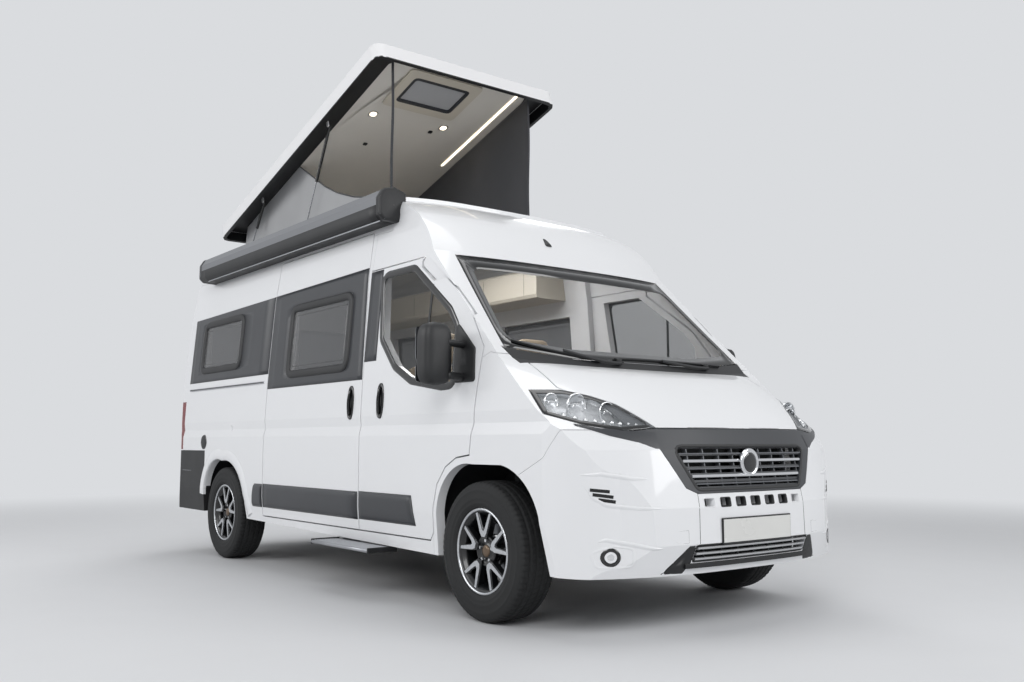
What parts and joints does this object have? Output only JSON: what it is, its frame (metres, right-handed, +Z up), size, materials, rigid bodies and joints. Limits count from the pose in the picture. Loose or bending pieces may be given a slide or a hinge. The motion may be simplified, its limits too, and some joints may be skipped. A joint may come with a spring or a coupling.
{
  "type": "camper van with lifting roof",
  "caption": "High panel-van camper with a nose-up lifting roof on struts, fabric tent walls, side awning, sliding door, entry step and glazed cab, on road wheels.",
  "frame": {"origin": "on the ground under the middle of the van's overall box", "axes": "+X towards the nose, +Y to the van's left, +Z up"},
  "size_m": [5.413, 2.508, 3.6222],
  "materials": {
    "paint_white": "gloss",
    "window_glass": "clear tinted",
    "acrylic_window": "dark tinted",
    "lamp_glass": "clear",
    "lamp_red": "red",
    "black_trim": "matt, lightly grained",
    "grey_trim": "satin",
    "gloss_black": "gloss",
    "bar_grey": "satin",
    "silver_trim": "satin silver",
    "bright_chrome": "polished",
    "awning_grey": "anodised",
    "rail_metal": "satin",
    "tyre_black": "matt",
    "rim_bright": "machined",
    "rim_dark": "satin",
    "cap_bronze": "satin",
    "chassis_black": "satin",
    "cast_dark": "rough",
    "steel_bare": "brushed",
    "tent_cloth": "woven",
    "lid_lining": "soft",
    "seat_cover": "soft",
    "dash_grey": "grained",
    "cabinet_front": "satin",
    "floor_board": "satin",
    "plate_blank": "gloss",
    "seal_rubber": "matt",
    "mirror_face": "polished",
    "led_warm": "lit"
  },
  "bodies": {
    "body": {"floor_deck": "floor_board", "wheel_liners": "black_trim", "chassis_frame": "chassis_black", "underfloor_tanks": "chassis_black", "bed_platform": "cabinet_front", "side_wall_right": "paint_white", "side_wall_left": "paint_white", "roof_panel": "paint_white", "roof_fairing": "paint_white", "cab_frame": "paint_white", "front_wings": "paint_white", "windscreen": "window_glass", "scuttle_panel": "black_trim", "front_bumper": "paint_white", "radiator_grille": "grey_trim", "headlamps": "lamp_glass", "rear_bumper": "black_trim", "tail_lamps": "lamp_red", "sliding_door": "paint_white", "side_windows": "acrylic_window", "awning_case": "awning_grey", "dashboard": "dash_grey", "cab_seats": "seat_cover", "cabinets": "cabinet_front", "engine_block": "cast_dark", "front_axle_carrier": "chassis_black", "rear_axle": "chassis_black", "roof_tent": "tent_cloth"},
    "bonnet": {"bonnet": "paint_white"},
    "entry_step": {"entry_step": "awning_grey"},
    "lower_arms": {"lift_arms_lower": "steel_bare"},
    "upper_arms": {"lift_arms_upper": "steel_bare"},
    "lid": {"pop_lid": "paint_white", "roof_light": "acrylic_window"},
    "front_tubes": {"front_strut_tubes": "gloss_black"},
    "front_rods": {"front_strut_rods": "steel_bare"},
    "rear_tubes": {"rear_strut_tubes": "gloss_black"},
    "rear_rods": {"rear_strut_rods": "steel_bare"},
    "front_door_right": {"front_door_right": "paint_white", "front_door_glass_right": "window_glass", "mirror_right": "black_trim"},
    "rear_door_right": {"rear_door_right": "paint_white", "rear_door_glass_right": "acrylic_window"},
    "knuckle_right": {"knuckle_right": "cast_dark"},
    "wheel_front_right": {"tyre_front_right": "tyre_black", "rim_front_right": "rim_bright"},
    "wheel_rear_right": {"tyre_rear_right": "tyre_black", "rim_rear_right": "rim_bright"},
    "front_door_left": {"front_door_left": "paint_white", "front_door_glass_left": "window_glass", "mirror_left": "black_trim"},
    "rear_door_left": {"rear_door_left": "paint_white", "rear_door_glass_left": "acrylic_window"},
    "knuckle_left": {"knuckle_left": "cast_dark"},
    "wheel_front_left": {"tyre_front_left": "tyre_black", "rim_front_left": "rim_bright"},
    "wheel_rear_left": {"tyre_rear_left": "tyre_black", "rim_rear_left": "rim_bright"}
  },
  "joints": [
    {"name": "steering_right", "type": "hinge", "parent": "body", "child": "knuckle_right", "pos_m": [1.7585, -0.835, 0.355], "axis": [0, 0, 1], "range_deg": [-35, 35]},
    {"name": "wheel_spin_front_right", "type": "hinge", "parent": "knuckle_right", "child": "wheel_front_right", "pos_m": [1.7585, -0.905, 0.355], "axis": [0, 1, 0], "continuous": true},
    {"name": "wheel_spin_rear_right", "type": "hinge", "parent": "body", "child": "wheel_rear_right", "pos_m": [-1.6915, -0.895, 0.355], "axis": [0, 1, 0], "continuous": true},
    {"name": "front_door_hinge_right", "type": "hinge", "parent": "body", "child": "front_door_right", "pos_m": [1.7305, -1.025, 0.9], "axis": [0, 0, 1], "range_deg": [0, 70]},
    {"name": "rear_door_hinge_right", "type": "hinge", "parent": "body", "child": "rear_door_right", "pos_m": [-2.7065, -0.904, 1.4], "axis": [0, 0, 1], "range_deg": [0, 180]},
    {"name": "steering_left", "type": "hinge", "parent": "body", "child": "knuckle_left", "pos_m": [1.7585, 0.835, 0.355], "axis": [0, 0, 1], "range_deg": [-35, 35]},
    {"name": "wheel_spin_front_left", "type": "hinge", "parent": "knuckle_left", "child": "wheel_front_left", "pos_m": [1.7585, 0.905, 0.355], "axis": [0, 1, 0], "continuous": true},
    {"name": "wheel_spin_rear_left", "type": "hinge", "parent": "body", "child": "wheel_rear_left", "pos_m": [-1.6915, 0.895, 0.355], "axis": [0, 1, 0], "continuous": true},
    {"name": "front_door_hinge_left", "type": "hinge", "parent": "body", "child": "front_door_left", "pos_m": [1.7305, 1.025, 0.9], "axis": [0, 0, -1], "range_deg": [0, 70]},
    {"name": "rear_door_hinge_left", "type": "hinge", "parent": "body", "child": "rear_door_left", "pos_m": [-2.7065, 0.904, 1.4], "axis": [0, 0, -1], "range_deg": [0, 180]},
    {"name": "bonnet_hinge", "type": "hinge", "parent": "body", "child": "bonnet", "pos_m": [1.9635, 0, 1.345], "axis": [0, -1, 0], "range_deg": [0, 55]},
    {"name": "step_slide", "type": "slide", "parent": "body", "child": "entry_step", "axis": [0, 1, 0], "range_m": [0, 0.25]},
    {"name": "roof_lift", "type": "hinge", "parent": "body", "child": "lower_arms", "pos_m": [-2.21895, 0, 2.524], "axis": [0, 1, 0], "range_deg": [0, 56.67], "deforming": ["roof_tent"]},
    {"name": "roof_knee", "type": "hinge", "parent": "lower_arms", "child": "upper_arms", "pos_m": [-2.14045, 0, 2.66342], "axis": [0, 1, 0], "range_deg": [-115, 0]},
    {"name": "roof_lid_pin", "type": "hinge", "parent": "upper_arms", "child": "lid", "pos_m": [-2.21895, 0, 2.80283], "axis": [0, 1, 0], "range_deg": [0, 76]},
    {"name": "front_tube_pin", "type": "hinge", "parent": "lid", "child": "front_tubes", "pos_m": [-0.65485, 0, 3.28939], "axis": [0, 1, 0], "range_deg": [0, 42]},
    {"name": "front_rod_slide", "type": "slide", "parent": "front_tubes", "child": "front_rods", "axis": [-0.4628, 0, -0.8865], "range_m": [-0.395, 0]},
    {"name": "rear_tube_pin", "type": "hinge", "parent": "lid", "child": "rear_tubes", "pos_m": [-1.82198, 0, 2.93412], "axis": [0, 1, 0], "range_deg": [0, 32]},
    {"name": "rear_rod_slide", "type": "slide", "parent": "rear_tubes", "child": "rear_rods", "axis": [-0.5756, 0, -0.8177], "range_m": [-0.195, 0]}
  ],
  "couplings": [
    {"joint": "steering_left", "follows": "steering_right", "ratio": 1},
    {"joint": "roof_knee", "follows": "roof_lift", "ratio": -2},
    {"joint": "roof_lid_pin", "follows": "roof_lift", "ratio": 1.2987},
    {"joint": "front_tube_pin", "follows": "roof_lift", "ratio": 0.7265},
    {"joint": "front_rod_slide", "follows": "roof_lift", "m_per_rad": -0.3953},
    {"joint": "rear_tube_pin", "follows": "roof_lift", "ratio": 0.5533},
    {"joint": "rear_rod_slide", "follows": "roof_lift", "m_per_rad": -0.1939}
  ]
}
